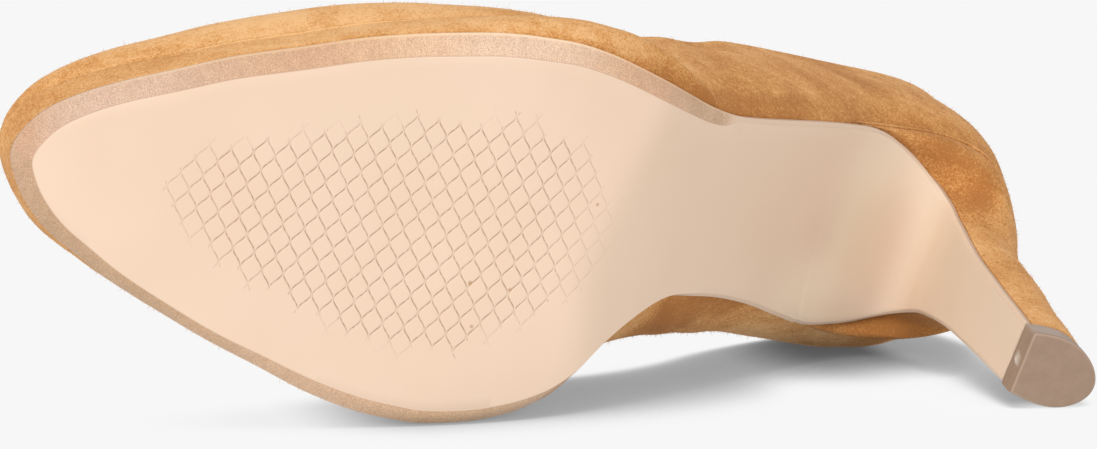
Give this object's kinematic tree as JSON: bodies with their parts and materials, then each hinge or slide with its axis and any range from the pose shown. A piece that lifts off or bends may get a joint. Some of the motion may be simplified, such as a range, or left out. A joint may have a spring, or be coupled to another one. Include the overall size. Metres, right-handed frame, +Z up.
{
  "type": "platform pump",
  "caption": "High-heeled platform court shoe for the left foot, suede upper and heel, smooth resin sole, lying on its inner side.",
  "frame": {"origin": "bottom centre of the box round the shoe as it lies on its inner side", "axes": "+X from toe to heel along the ground, +Z up, +Y from the sole towards the collar; the sole faces -Y"},
  "size_m": [0.2332, 0.1466, 0.0832],
  "materials": {
    "suede": "cognac suede with a soft nap",
    "lining": "smooth tan lining leather",
    "resin_sole": "peach-beige resin with a dull sheen",
    "top_piece": "taupe wear plastic with a slight gloss"
  },
  "bodies": {
    "root": {"upper": "suede", "insole": "lining", "platform": "suede", "outsole": "resin_sole", "heel": "suede", "top_piece": "top_piece"}
  },
  "joints": []
}
